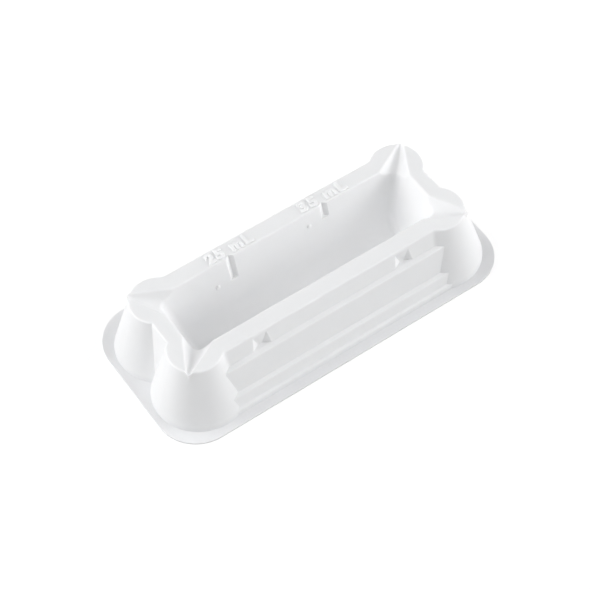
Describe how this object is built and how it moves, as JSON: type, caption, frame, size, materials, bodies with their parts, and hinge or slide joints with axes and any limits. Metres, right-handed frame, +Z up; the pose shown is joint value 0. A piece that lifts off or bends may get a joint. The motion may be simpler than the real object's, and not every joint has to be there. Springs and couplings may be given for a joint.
{
  "type": "reagent reservoir",
  "caption": "Thin thermoformed trough for multichannel pipetting, with pouring corners, four tapered corner posts, stepped long walls and a flat flange.",
  "frame": {"origin": "centre of the flange's underside, on the surface that the reservoir stands on", "axes": "+X along the trough, +Y across it towards the graduated wall, +Z up"},
  "size_m": [0.15, 0.069, 0.028],
  "materials": {
    "polystyrene": "satin gloss, formed sheet"
  },
  "bodies": {
    "root": {"reservoir": "polystyrene"}
  },
  "joints": []
}
